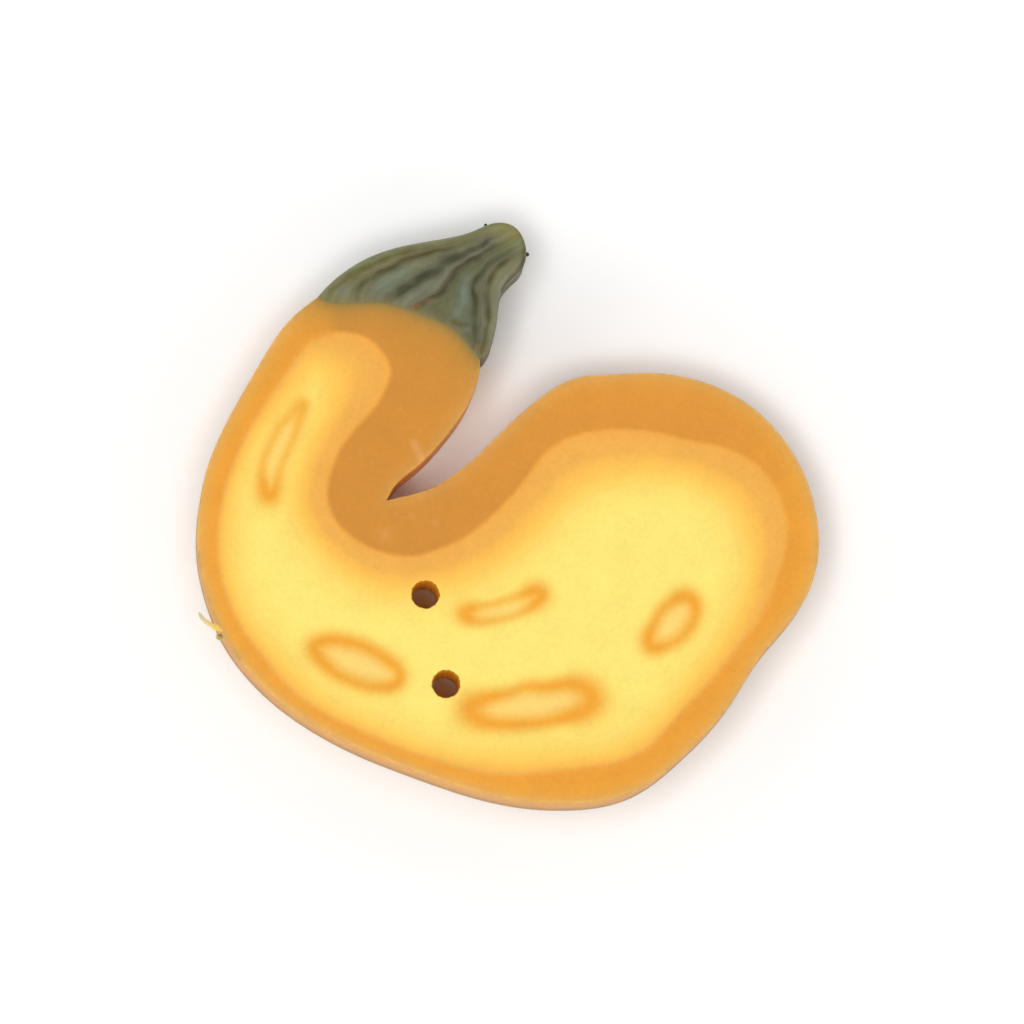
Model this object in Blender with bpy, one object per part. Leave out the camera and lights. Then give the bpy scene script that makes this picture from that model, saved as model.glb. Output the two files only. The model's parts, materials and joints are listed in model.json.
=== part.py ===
# A flat sewing button of baked clay in the shape of a crookneck squash.
#
# The button is a slice of clay with a rounded rim all round. Its body is one bent piece:
# a neck that rises on the left, a notch behind it, and a round bulb that lies to the right.
# A cap of green clay, drawn out into a stem, is butted against the top of the neck.
# Two sewing holes go straight through the middle of the body.
#
# Frame: +Z is the way the patterned face looks, +Y runs from the underside to the stem tip,
# +X runs from the back of the neck to the end of the bulb. The origin is at the middle of
# the outline's box, on the flat back.

import bmesh
import bpy
import numpy as np

# Driving dimensions, in metres
MM = 0.001
THICKNESS = 3.2 * MM            # the slice, from its back to its patterned face
RIM_ROUND = 0.12 * MM           # how far the smoothed rim reaches in from the edge
RIM_STEPS = 3                   # facets across the smoothed rim
SEAM_GAP = 0.05 * MM            # parting line between the stem clay and the body clay
EDGE_STEP = 0.42 * MM           # length of one straight facet along the outline
CURVE_READS = 24                # readings of the curve between two of the outline's points
HOLE_DIAMETER = 1.14 * MM       # sewing hole
HOLE_FLARE = 0.06 * MM          # the drill leaves each mouth this much wider all round
HOLE_SIDES = 28
HOLE_CENTRES = [(-3.47 * MM, -3.49 * MM), (-2.60 * MM, -7.26 * MM)]
SHARP_ANGLE = 40.0              # degrees between faces that stay a crisp edge

# The outline, in millimetres from the middle of its box. Each stretch is a smooth curve
# through its points, and the stretches meet at three corners: the two ends of the seam
# between the clays, and the bottom of the notch between neck and bulb.
SEAM = [
    (-8.00, 9.09), (-7.48, 8.87), (-6.01, 8.85), (-5.17, 8.81), (-4.33, 8.60),
    (-3.49, 8.28), (-2.65, 7.94), (-2.02, 7.46), (-1.20, 6.46),
]
NECK_INSIDE = [
    (-1.20, 6.46), (-1.19, 5.92), (-1.50, 4.95), (-2.02, 3.99), (-3.38, 2.32),
    (-4.18, 1.63), (-4.73, 1.13), (-5.08, 0.50),
]
BULB_TOP = [
    (-5.08, 0.50), (-3.28, 0.99), (-2.35, 1.54), (-1.39, 2.30), (-0.34, 3.35),
    (0.80, 4.41), (1.89, 5.26), (3.02, 5.75), (4.49, 5.88), (6.05, 5.94),
    (7.65, 5.73), (9.06, 5.24), (10.42, 4.40), (11.64, 3.10), (12.57, 1.43),
]
BULB_END = [
    (13.06, -0.66), (13.00, -2.12), (12.53, -3.52), (11.62, -4.82), (10.58, -6.08),
    (9.68, -7.52), (8.62, -8.95), (7.26, -10.31), (5.77, -11.49), (4.20, -12.11),
]
UNDERSIDE = [
    (2.38, -12.29), (0.49, -12.17), (-1.62, -11.70), (-3.94, -10.91), (-6.47, -9.90),
    (-8.80, -8.58), (-10.50, -7.17), (-11.84, -5.45), (-12.62, -3.65),
]
NECK_BACK = [
    (-13.02, -1.82), (-13.01, -0.11), (-12.65, 1.79), (-11.76, 3.90), (-10.58, 6.01),
    (-9.35, 7.91), (-8.00, 9.09),
]
STEM_EDGE = [
    (-8.00, 9.09), (-7.65, 9.49), (-7.18, 9.93), (-6.22, 10.59), (-4.96, 11.12),
    (-3.70, 11.41), (-2.44, 11.64), (-1.51, 11.90), (-0.76, 12.22), (-0.13, 12.27),
    (0.42, 11.98), (0.77, 11.09), (0.61, 10.37), (0.31, 10.05), (0.01, 9.75),
    (-0.21, 9.40), (-0.34, 8.98), (-0.42, 8.50), (-0.47, 8.05), (-0.56, 7.56),
    (-0.69, 7.06), (-0.85, 6.74), (-1.01, 6.53), (-1.20, 6.46),
]

# Finishes: colour, roughness and metallic value
AMBER_CLAY = ((0.78, 0.42, 0.09), 0.42, 0.0)
STEM_CLAY = ((0.11, 0.13, 0.07), 0.46, 0.0)


def clear_scene():
    """Remove every object, so that the script starts from nothing."""
    for thing in list(bpy.data.objects):
        bpy.data.objects.remove(thing, do_unlink=True)


def make_material(name, finish):
    """A plain clay finish from a colour, a roughness and a metallic value."""
    colour, roughness, metallic = finish
    material = bpy.data.materials.new(name)
    material.use_nodes = True
    shader = material.node_tree.nodes["Principled BSDF"]
    shader.inputs["Base Color"].default_value = (*colour, 1.0)
    shader.inputs["Roughness"].default_value = roughness
    shader.inputs["Metallic"].default_value = metallic
    return material


def smooth_curve(points):
    """Natural cubic spline through the points, in metres, with a corner every EDGE_STEP.

    Between two points the curve is a cubic whose parameter grows with the square root of
    their distance. Its bending is zero at both ends and continuous at every point.
    """
    p = np.array(points) * MM
    gaps = np.sqrt(np.hypot(*np.diff(p, axis=0).T))
    count = len(p)
    system = np.zeros((count, count))
    pull = np.zeros((count, 2))
    system[0, 0] = system[-1, -1] = 1.0
    for i in range(1, count - 1):
        before, after = gaps[i - 1], gaps[i]
        system[i, i - 1:i + 2] = before, 2.0 * (before + after), after
        pull[i] = 6.0 * ((p[i + 1] - p[i]) / after - (p[i] - p[i - 1]) / before)
    bend = np.linalg.solve(system, pull)

    fine = []
    for i, gap in enumerate(gaps):
        t = np.linspace(0.0, gap, CURVE_READS, endpoint=False)[:, None]
        rest = gap - t
        fine.append(
            (bend[i] * rest**3 + bend[i + 1] * t**3) / (6.0 * gap)
            + (p[i] / gap - bend[i] * gap / 6.0) * rest
            + (p[i + 1] / gap - bend[i + 1] * gap / 6.0) * t
        )
    fine = np.concatenate(fine + [p[-1:]])

    travelled = np.concatenate([[0.0], np.cumsum(np.hypot(*np.diff(fine, axis=0).T))])
    pieces = round(travelled[-1] / EDGE_STEP)
    stops = np.linspace(0.0, travelled[-1], pieces + 1)
    return np.column_stack([np.interp(stops, travelled, fine[:, k]) for k in range(2)])


def shade(mesh):
    """Smooth shading along the walls, with crisp edges kept where faces turn sharply."""
    mesh.shade_smooth()
    mesh.set_sharp_from_angle(angle=np.radians(SHARP_ANGLE))


def slice_of_clay(name, stretches, material):
    """A flat slab whose outline is made of stretches of curve, one after another.

    Each stretch comes with a flag that says whether the clay's rim was smoothed along it.
    The slab is closed, with its back at z = 0 and its face at the full thickness.
    """
    outline = np.concatenate([curve[:-1] for curve, smoothed in stretches])
    rim_flags = np.concatenate([[smoothed] * (len(curve) - 1) for curve, smoothed in stretches])

    mesh = bpy.data.meshes.new(name)
    bm = bmesh.new()
    rim_weight = bm.edges.layers.float.new("bevel_weight_edge")
    back = bm.faces.new([bm.verts.new((x, y, 0.0)) for x, y in outline])
    for corner, smoothed in zip(back.loops, rim_flags):
        corner.edge[rim_weight] = float(smoothed)
    lifted = bmesh.ops.extrude_face_region(bm, geom=[back], use_keep_orig=True)["geom"]
    raised = [item for item in lifted if isinstance(item, bmesh.types.BMVert)]
    bmesh.ops.translate(bm, verts=raised, vec=(0.0, 0.0, THICKNESS))
    bmesh.ops.recalc_face_normals(bm, faces=bm.faces)
    bm.to_mesh(mesh)
    bm.free()

    shade(mesh)
    mesh.materials.append(material)
    slab = bpy.data.objects.new(name, mesh)
    bpy.context.collection.objects.link(slab)
    rim = slab.modifiers.new("smoothed rim", "BEVEL")
    rim.limit_method = "WEIGHT"
    rim.width = RIM_ROUND
    rim.segments = RIM_STEPS
    rim.use_clamp_overlap = False
    return slab


def drill(slab, name, centre):
    """A sewing hole straight through the slab, a little wider at both mouths."""
    radius = HOLE_DIAMETER / 2.0
    mouth = radius + HOLE_FLARE
    past = mouth + HOLE_FLARE
    levels = [
        (-HOLE_FLARE, past), (0.0, mouth), (HOLE_FLARE, radius),
        (THICKNESS - HOLE_FLARE, radius), (THICKNESS, mouth), (THICKNESS + HOLE_FLARE, past),
    ]
    angles = np.linspace(0.0, 2.0 * np.pi, HOLE_SIDES, endpoint=False)
    mesh = bpy.data.meshes.new(name)
    bm = bmesh.new()
    rings = [
        [bm.verts.new((r * np.cos(a), r * np.sin(a), z)) for a in angles]
        for z, r in levels
    ]
    for lower, upper in zip(rings, rings[1:]):
        for i in range(HOLE_SIDES):
            j = (i + 1) % HOLE_SIDES
            bm.faces.new((lower[i], lower[j], upper[j], upper[i]))
    bm.faces.new(rings[0][::-1])
    bm.faces.new(rings[-1])
    bmesh.ops.recalc_face_normals(bm, faces=bm.faces)
    bm.to_mesh(mesh)
    bm.free()

    shade(mesh)
    cutter = bpy.data.objects.new(name, mesh)
    cutter.location = (*centre, 0.0)
    cutter.hide_render = True
    cutter.display_type = "WIRE"
    bpy.context.collection.objects.link(cutter)
    cut = slab.modifiers.new(name, "BOOLEAN")
    cut.operation = "DIFFERENCE"
    cut.solver = "EXACT"
    cut.object = cutter


def main():
    clear_scene()
    seam = smooth_curve(SEAM)
    neck_inside = smooth_curve(NECK_INSIDE)
    bulb_and_back = smooth_curve(BULB_TOP + BULB_END + UNDERSIDE + NECK_BACK)
    stem_edge = smooth_curve(STEM_EDGE)

    body = slice_of_clay(
        "squash_body",
        [(seam, False), (neck_inside, True), (bulb_and_back, True)],
        make_material("amber clay", AMBER_CLAY),
    )
    for number, centre in enumerate(HOLE_CENTRES, start=1):
        drill(body, f"sewing_hole_{number}", centre)

    # The stem clay stops short of the body clay by the parting gap, square to the seam
    run = seam[-1] - seam[0]
    towards_stem = np.array([-run[1], run[0]]) / np.hypot(*run)
    stem_foot = seam + towards_stem * SEAM_GAP
    stem_edge[0], stem_edge[-1] = stem_foot[0], stem_foot[-1]
    slice_of_clay(
        "stem_cap",
        [(stem_edge, True), (stem_foot[::-1], False)],
        make_material("green striped clay", STEM_CLAY),
    )


main()
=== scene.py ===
# %% [markdown]
# # A squash-shaped clay button, from bare solids to a finished picture
#
# The object is a flat sewing button, sliced from a loaf of coloured clay and baked. Its body
# shows a crookneck squash cut lengthwise: a dark amber rind, a peach band, pale yellow flesh
# and five seeds. A cap of green striped clay makes the stem. Two holes take the thread.
#
# A clay loaf carries its picture all the way through, as a stick of rock does. So both slices
# are built here as fine slabs whose every point knows how deep in the picture it lies, and
# the finishes turn those depths into colour, on the face, on the back and down the walls.

import json

import bmesh
import bpy
import numpy as np
from mathutils import Matrix, Vector
from mathutils.geometry import delaunay_2d_cdt

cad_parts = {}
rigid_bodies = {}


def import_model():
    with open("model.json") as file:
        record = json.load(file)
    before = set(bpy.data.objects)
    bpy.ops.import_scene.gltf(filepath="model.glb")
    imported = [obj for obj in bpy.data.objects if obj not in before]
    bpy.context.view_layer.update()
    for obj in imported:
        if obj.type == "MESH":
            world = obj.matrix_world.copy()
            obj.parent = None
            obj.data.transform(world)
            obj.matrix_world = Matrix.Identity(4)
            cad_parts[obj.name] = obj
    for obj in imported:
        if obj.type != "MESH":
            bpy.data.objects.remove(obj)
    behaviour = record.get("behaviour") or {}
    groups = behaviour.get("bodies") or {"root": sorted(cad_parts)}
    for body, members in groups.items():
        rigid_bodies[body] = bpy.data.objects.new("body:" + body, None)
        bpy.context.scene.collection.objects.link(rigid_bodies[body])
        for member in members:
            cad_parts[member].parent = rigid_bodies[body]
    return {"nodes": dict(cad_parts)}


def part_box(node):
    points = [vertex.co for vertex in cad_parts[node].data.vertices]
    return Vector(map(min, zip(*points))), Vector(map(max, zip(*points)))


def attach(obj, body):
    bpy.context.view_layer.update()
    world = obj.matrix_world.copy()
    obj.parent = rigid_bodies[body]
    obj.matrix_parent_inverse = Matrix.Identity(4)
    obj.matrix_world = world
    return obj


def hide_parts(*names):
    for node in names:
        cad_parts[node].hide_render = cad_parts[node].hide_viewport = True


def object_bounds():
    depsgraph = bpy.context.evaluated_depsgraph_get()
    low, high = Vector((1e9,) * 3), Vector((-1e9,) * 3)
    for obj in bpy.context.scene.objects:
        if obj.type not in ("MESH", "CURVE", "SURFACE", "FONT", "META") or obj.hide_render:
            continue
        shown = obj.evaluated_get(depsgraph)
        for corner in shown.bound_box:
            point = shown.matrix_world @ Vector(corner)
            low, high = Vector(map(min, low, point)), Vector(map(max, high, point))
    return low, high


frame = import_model()
cad_low, cad_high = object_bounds()
print("packed nodes:", sorted(frame["nodes"]))
print("box in mm:", [round(v * 1000.0, 3) for v in (*cad_low, *cad_high)])

# %% [markdown]
# ## Measures
#
# Everything below is worked out in millimetres, because the button is 26 mm wide and its
# finest line is a quarter of a millimetre. Meshes are written in metres at the very end. The
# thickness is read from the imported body, so the new slices can't drift away from it.

# %% Measures of the button
MM = 0.001
THICKNESS = (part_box("squash_body")[1].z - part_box("squash_body")[0].z) / MM
RIM_ROUND = 0.12          # reach of the smoothed rim, in from the edge
MOUTH_ROUND = 0.06        # reach of the worn lip round a sewing hole
HOLE_RADIUS = 0.57
HOLE_CENTRES = [(-3.47, -3.49), (-2.60, -7.26)]
print("slice is", round(THICKNESS, 3), "mm thick")

# %% [markdown]
# ## The outline
#
# The edge of a cut slice is one long free curve. It could be drawn as a Bezier curve object,
# but a spline in code can be read at any spacing, and the same spline also gives distances
# to the edge later on. Each stretch is a natural cubic spline through listed points.
# The stretches meet at three corners: the two ends of the seam between the clays, and the
# bottom of the notch behind the neck.

# %% Smooth curve through a few points
CURVE_READS = 24          # readings of the spline between two of its points
CURVE_OVERLAP = 4         # points that a closed curve repeats past its join


def walked_along(chain):
    """Length walked from the start of a chain of points to each of them."""
    return np.concatenate([[0.0], np.cumsum(np.hypot(*np.diff(chain[:, :2], axis=0).T))])


def smooth_curve(points, step, closed=False):
    """Natural cubic spline through the points, read evenly along its length.

    Between two points the curve is a cubic whose parameter grows with the square root of
    their distance. Its bending is continuous at every point and zero at both ends. A closed
    curve runs on past its join for a few points, so that the join bends smoothly as well.
    A point may carry further numbers after its x and y, and the spline smooths them too.
    """
    p = np.array(points, float)
    if closed:
        p = np.concatenate([p[-CURVE_OVERLAP:], p, p[:CURVE_OVERLAP + 1]])
    gap = np.sqrt(np.hypot(*np.diff(p[:, :2], axis=0).T))
    slope = np.diff(p, axis=0) / gap[:, None]
    system = np.diag(np.concatenate([[1.0], 2.0 * (gap[:-1] + gap[1:]), [1.0]]))
    system += np.diag(np.concatenate([[0.0], gap[1:]]), 1)
    system += np.diag(np.concatenate([gap[:-1], [0.0]]), -1)
    pull = np.zeros_like(p)
    pull[1:-1] = 6.0 * np.diff(slope, axis=0)
    bend = np.linalg.solve(system, pull)[:, None, :]

    h = gap[:, None, None]
    t = np.linspace(0.0, 1.0, CURVE_READS, endpoint=False)[None, :, None] * h
    first, second = p[:-1, None, :], p[1:, None, :]
    fine = (
        (bend[:-1] * (h - t)**3 + bend[1:] * t**3) / (6.0 * h)
        + (first / h - bend[:-1] * h / 6.0) * (h - t)
        + (second / h - bend[1:] * h / 6.0) * t
    ).reshape(-1, p.shape[1])
    fine = np.concatenate([fine, p[-1:]])
    if closed:
        fine = fine[CURVE_OVERLAP * CURVE_READS:(CURVE_OVERLAP + len(points)) * CURVE_READS + 1]

    walked = walked_along(fine)
    stops = np.linspace(0.0, walked[-1], round(walked[-1] / step) + 1)
    return np.column_stack([np.interp(stops, walked, column) for column in fine.T])


print("three points make a curve of", len(smooth_curve([(0, 0), (1, 1), (2, 0)], 0.25)), "points")

# %% The outline's stretches
EDGE_STEP = 0.075         # spacing of the mesh's points along the cut edge
SEAM_STEP = 0.040         # closer along the seam, where both rims end

SEAM = [
    (-8.00, 9.09), (-7.48, 8.87), (-6.01, 8.85), (-5.17, 8.81), (-4.33, 8.60),
    (-3.49, 8.28), (-2.65, 7.94), (-2.02, 7.46), (-1.20, 6.46),
]
NECK_INSIDE = [
    (-1.20, 6.46), (-1.19, 5.92), (-1.50, 4.95), (-2.02, 3.99), (-3.38, 2.32),
    (-4.18, 1.63), (-4.73, 1.13), (-5.08, 0.50),
]
BULB_TOP = [
    (-5.08, 0.50), (-3.28, 0.99), (-2.35, 1.54), (-1.39, 2.30), (-0.34, 3.35),
    (0.80, 4.41), (1.89, 5.26), (3.02, 5.75), (4.49, 5.88), (6.05, 5.94),
    (7.65, 5.73), (9.06, 5.24), (10.42, 4.40), (11.64, 3.10), (12.57, 1.43),
]
BULB_END = [
    (13.06, -0.66), (13.00, -2.12), (12.53, -3.52), (11.62, -4.82), (10.58, -6.08),
    (9.68, -7.52), (8.62, -8.95), (7.26, -10.31), (5.77, -11.49), (4.20, -12.11),
]
UNDERSIDE = [
    (2.38, -12.29), (0.49, -12.17), (-1.62, -11.70), (-3.94, -10.91), (-6.47, -9.90),
    (-8.80, -8.58), (-10.50, -7.17), (-11.84, -5.45), (-12.62, -3.65),
]
NECK_BACK = [
    (-13.02, -1.82), (-13.01, -0.11), (-12.65, 1.79), (-11.76, 3.90), (-10.58, 6.01),
    (-9.35, 7.91), (-8.00, 9.09),
]
STEM_EDGE = [
    (-8.00, 9.09), (-7.65, 9.49), (-7.18, 9.93), (-6.22, 10.59), (-4.96, 11.12),
    (-3.70, 11.41), (-2.44, 11.64), (-1.51, 11.90), (-0.76, 12.22), (-0.13, 12.27),
    (0.42, 11.98), (0.77, 11.09), (0.61, 10.37), (0.31, 10.05), (0.01, 9.75),
    (-0.21, 9.40), (-0.34, 8.98), (-0.42, 8.50), (-0.47, 8.05), (-0.56, 7.56),
    (-0.69, 7.06), (-0.85, 6.74), (-1.01, 6.53), (-1.20, 6.46),
]

seam = smooth_curve(SEAM, SEAM_STEP)
neck_inside = smooth_curve(NECK_INSIDE, EDGE_STEP)
bulb_and_back = smooth_curve(BULB_TOP + BULB_END + UNDERSIDE + NECK_BACK, EDGE_STEP)
stem_edge = smooth_curve(STEM_EDGE, SEAM_STEP)

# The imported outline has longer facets, so its box is a hair smaller than the smooth curve's
box = np.array([cad_low, cad_high])[:, :2] / MM
bulb_and_back, stem_edge = (np.clip(curve, *box) for curve in (bulb_and_back, stem_edge))
body_rim = np.concatenate([neck_inside[:-1], bulb_and_back])
print("cut edge:", len(body_rim), "points round the body,", len(stem_edge), "round the stem")

# %% [markdown]
# ## Measuring to a curve
#
# Nearly everything on this button is a matter of distance: how far to the rim, to the seam,
# to the line where rind turns into flesh. One function measures from many points at once to
# a chain of straight bits, and a second one tells which points lie inside a closed loop.

# %% Distances and insides


def nearest(points, chain):
    """Distance from each point to a chain of straight bits, and where it is nearest.

    On one bit the closest place is the point's shadow on it, held between the bit's ends, and
    the smallest distance of all bits counts. Side is +1 on the left of someone who walks
    along the chain and -1 on the right, and along is the length walked to that place.
    """
    runs = np.diff(chain, axis=0)
    lengths = np.hypot(*runs.T)
    walked = np.cumsum(lengths) - lengths
    distance = np.full(len(points), np.inf)
    side = np.zeros(len(points))
    along = np.zeros(len(points))
    for start, run, length, before in zip(chain, runs, lengths, walked):
        off = points - start
        share = np.clip(off @ run / length**2, 0.0, 1.0)
        far = np.hypot(off[:, 0] - share * run[0], off[:, 1] - share * run[1])
        closer = far < distance
        distance[closer] = far[closer]
        side[closer] = np.sign(run[0] * off[closer, 1] - run[1] * off[closer, 0])
        along[closer] = before + share[closer] * length
    return distance, side, along


def inside(points, loop):
    """True where a walk to the right from the point crosses the closed loop an odd number
    of times."""
    x, y = points.T
    odd = np.zeros(len(points), bool)
    for (ax, ay), (bx, by) in zip(loop, np.roll(loop, -1, axis=0)):
        if ay != by:
            odd ^= ((ay > y) != (by > y)) & (x < ax + (y - ay) * (bx - ax) / (by - ay))
    return odd


def depth_in(points, curve):
    """Distance to a closed curve, positive inside it and negative outside."""
    distance = nearest(points, curve)[0]
    return np.where(inside(points, curve[:-1]), distance, -distance)


def anticlockwise(loop):
    """The loop turned so that it runs anticlockwise: twice its area, summed, is positive."""
    x, y = loop.T
    twice_area = np.sum(x * np.roll(y, -1) - np.roll(x, -1) * y)
    return loop if twice_area > 0.0 else loop[::-1]


print("middle of the bulb and of the notch in the body:",
      inside(np.array([(5.0, -3.0), (0.0, 7.0)]), np.concatenate([seam[:-1], body_rim[:-1]])))

# %% [markdown]
# ## How a slice is shaped
#
# A blade leaves a crisp edge on raw clay, and a fingertip then smooths it. So a slice is flat
# on both sides, its rim falls away in a quarter circle, and its wall keeps faint ripples from
# the cutting. The seam isn't rounded: there the two clays were pressed into one another.
#
# A bevelled polygon would give the shape, but no points inside the face to hang the picture
# on. Here the face is covered with an even honeycomb of points, joined into triangles that
# respect the outline and the holes. The height of each point then follows from its distance
# to the rim. The back uses the same triangles turned over, and rows of quads make the wall.

# %% Points over the face
CORNER_FAN = 24           # directions in which points are set round the notch's corner


def honeycomb(low, high, spacing):
    """Even points: rows a factor of root three over two apart, each second row shifted by
    half a step."""
    rows = np.arange(low[1], high[1], spacing * np.sqrt(3.0) / 2.0)
    columns = np.arange(low[0], high[0], spacing)
    x, y = np.meshgrid(columns, rows)
    x[1::2] += spacing / 2.0
    return np.column_stack([x.ravel(), y.ravel()])


def left_of(runs):
    """Steps of length 1 to the left of these directions: each is turned by a right angle."""
    ahead = runs / np.hypot(*runs.T)[:, None]
    return np.column_stack([-ahead[:, 1], ahead[:, 0]])


def rim_points(rim, corners, depths):
    """Copies of the rim moved inwards, one for each depth, with a fan at each corner.

    Inwards is to the right, because the rim is walked clockwise.
    """
    inward = -left_of(np.gradient(rim, axis=0))
    turn = np.linspace(0.0, 2.0 * np.pi, CORNER_FAN, endpoint=False)
    fan = np.column_stack([np.cos(turn), np.sin(turn)])
    rings = []
    for depth in depths:
        ring = np.concatenate([rim + depth * inward] + [corner + depth * fan for corner in corners])
        rings.append(ring[nearest(ring, rim)[0] > 0.97 * depth])
    return np.concatenate(rings)


def sewing_hole(centre, count=112):
    """Loop of a hole pushed through by hand: a circle whose radius wavers by a few percent.

    The radius is one plus four small sine waves with 5, 9, 16 and 27 swings a turn, started
    at other places in each hole.
    """
    turn = np.linspace(0.0, 2.0 * np.pi, count, endpoint=False)
    start = 3.0 * centre[0]
    waver = (
        0.012 * np.sin(5.0 * turn + start) + 0.012 * np.sin(9.0 * turn - 2.0 * start)
        + 0.014 * np.sin(16.0 * turn + start) + 0.012 * np.sin(27.0 * turn - start)
    )
    radius = HOLE_RADIUS * (1.0 + waver)
    return np.array(centre) + np.column_stack([radius * np.cos(turn), radius * np.sin(turn)])


print("a honeycomb over one square mm, 0.1 mm apart:", len(honeycomb((0, 0), (1, 1), 0.1)), "points")

# %% Heights of the rim and the ripples


def quarter_round(distance, reach):
    """How far a rounded edge has dropped at this distance in from it.

    The edge is a quarter circle of radius reach: the drop is the radius less the circle's
    height over the rest of the way, and it is nothing past the reach.
    """
    rest = np.clip(reach - distance, 0.0, reach)
    return reach - np.sqrt(reach**2 - rest**2)


def ripple(x, y):
    """Slow unevenness between 0 and 1: the product of two tilted sine waves, halved and
    lifted."""
    first = np.sin(1.1 * x + 0.4 * y + 0.7)
    second = np.sin(0.9 * y - 0.5 * x - 0.4)
    return 0.5 + 0.5 * first * second


print("a third of the way in, the rim has dropped", round(quarter_round(RIM_ROUND / 3.0, RIM_ROUND), 3), "mm")

# %% Points and triangles of the face


def joined(loop):
    """The loop with its first point repeated at the end."""
    return np.vstack([loop, loop[:1]])


def in_clay(points, loops):
    """True inside the first loop, the outline, and outside every other loop, the holes."""
    keep = inside(points, loops[0])
    for loop in loops[1:]:
        keep &= ~inside(points, loop)
    return keep


def clear(points, loops, rim, from_rim, from_edge):
    """Points inside the clay that keep their distance from the rim and from every loop."""
    keep = in_clay(points, loops) & (nearest(points, rim)[0] > from_rim)
    for loop in loops:
        keep &= nearest(points, joined(loop))[0] > from_edge
    return points[keep]


def face_points(loops, holes, rim, corners, spacing):
    """The border's points first, then lips round the holes, rings along the rim and a
    honeycomb over the rest."""
    lip = np.array([0.22, 0.55, 1.0]) * MOUTH_ROUND
    lips = []
    for hole in holes:
        centre = hole.mean(axis=0)
        lips += [centre + (hole - centre) * (1.0 + reach / HOLE_RADIUS) for reach in lip]
    rings = rim_points(rim, corners, np.array([0.06, 0.23, 0.5, 1.0]) * RIM_ROUND)
    rings = clear(rings, loops, rim, 0.0, 0.05 * RIM_ROUND)
    middle = honeycomb(loops[0].min(axis=0), loops[0].max(axis=0), spacing)
    middle = clear(middle, loops, rim, RIM_ROUND + 0.35 * spacing, 0.35 * spacing)
    for loop in loops[1:]:
        away = np.hypot(*(middle - loop.mean(axis=0)).T)
        middle = middle[away > HOLE_RADIUS + MOUTH_ROUND + 0.4 * spacing]
    return np.concatenate(loops + lips + [rings, middle])


def face_triangles(plan, loops):
    """Triangles that cover the clay, and the pairs of neighbours along every loop."""
    starts = np.cumsum([0] + [len(loop) for loop in loops])
    borders = np.concatenate([
        np.column_stack([np.arange(a, b), np.append(np.arange(a + 1, b), a)])
        for a, b in zip(starts[:-1], starts[1:])
    ])
    flat, _, triangles, *_ = delaunay_2d_cdt(plan, borders.tolist(), [], 1, 1e-7, False)
    assert len(flat) == len(plan), "two of the face's points fell together"
    triangles = np.array(triangles)
    return triangles[in_clay(plan[triangles].mean(axis=1), loops)], borders


# %% Joining the face, the back and the wall into a slice
WALL_ROWS = 9
FACE_RIPPLE = 0.012       # the face is nowhere deeper than this below its highest point
WALL_RIPPLE = 0.035       # the wall is nowhere further in than this
BORE_SHARE = 0.3          # a hole's wall ripples this much as strongly
CRISP_ANGLE = 50.0        # degrees, edges that turn more than this aren't shaded smooth


def new_piece(name, vertices, faces):
    """An object in the scene, with a smoothly shaded mesh of vertices in mm and faces."""
    mesh = bpy.data.meshes.new(name)
    mesh.from_pydata((vertices * MM).tolist(), [], faces)
    mesh.shade_smooth()
    piece = bpy.data.objects.new(name, mesh)
    bpy.context.collection.objects.link(piece)
    return piece


def wall_points(loops, on_seam, bottom, top):
    """Rows of points from the back's border up to the face's, with their heights and shares
    of the way. The ripples push them inwards, least at both borders and not at the seam."""
    share = np.linspace(0.0, 1.0, WALL_ROWS + 2)[1:-1, None]
    height = bottom * (1.0 - share) + top * share
    edge = np.concatenate(loops)
    ahead = np.concatenate([np.roll(loop, -1, axis=0) - np.roll(loop, 1, axis=0) for loop in loops])
    strength = np.full(len(edge), BORE_SHARE)
    strength[:len(loops[0])] = np.where(on_seam[:len(loops[0])], 0.0, 1.0)
    swell = ripple(5.0 * edge[:, 0] + 3.0 * height, 5.0 * edge[:, 1] - 2.0 * height)
    push = WALL_RIPPLE * strength * swell * np.sin(np.pi * share)
    return edge[None] + push[..., None] * left_of(ahead)[None], height, share


def slice_of_clay(name, outline, rim, corners, spacing, holes=()):
    """A solid slice with a fine face, a fine back and a rippled wall.

    Returns its object, the plan of its face (one x, y for each point) and, for each vertex,
    the number of the plan's point above or below it, with its share of the way up.
    """
    loops = [anticlockwise(outline)] + [anticlockwise(hole)[::-1] for hole in holes]
    plan = face_points(loops, holes, rim, corners, spacing)
    triangles, borders = face_triangles(plan, loops)

    from_rim = nearest(plan, rim)[0]
    drop = quarter_round(from_rim, RIM_ROUND)
    for loop in loops[1:]:
        drop = np.maximum(drop, quarter_round(nearest(plan, joined(loop))[0], MOUTH_ROUND))
    top = THICKNESS - drop - FACE_RIPPLE * ripple(*plan.T)
    count, around = len(plan), len(borders)
    wall, height, share = wall_points(loops, from_rim[:around] > 1e-6, drop[:around], top[:around])

    vertices = np.concatenate([
        np.column_stack([plan, top]),
        np.column_stack([plan, drop]),
        np.column_stack([wall.reshape(-1, 2), height.ravel()]),
    ])
    border = np.arange(around)
    of_plan = np.concatenate([np.arange(count), np.arange(count), np.tile(border, WALL_ROWS)])
    level = np.concatenate([np.ones(count), np.zeros(count), np.repeat(share[:, 0], around)])

    rows = [count + border] + [2 * count + k * around + border for k in range(WALL_ROWS)] + [border]
    here, after = borders.T
    quads = np.concatenate([
        np.column_stack([low[here], low[after], high[after], high[here]])
        for low, high in zip(rows[:-1], rows[1:])
    ])
    faces = triangles.tolist() + (triangles[:, ::-1] + count).tolist() + quads.tolist()
    piece = new_piece(name, vertices, faces)
    piece.data.set_sharp_from_angle(angle=np.radians(CRISP_ANGLE))
    print(f"{name}: {len(vertices)} vertices, {2 * len(triangles) + 2 * len(quads)} triangles")
    return piece, plan, of_plan, level


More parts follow.
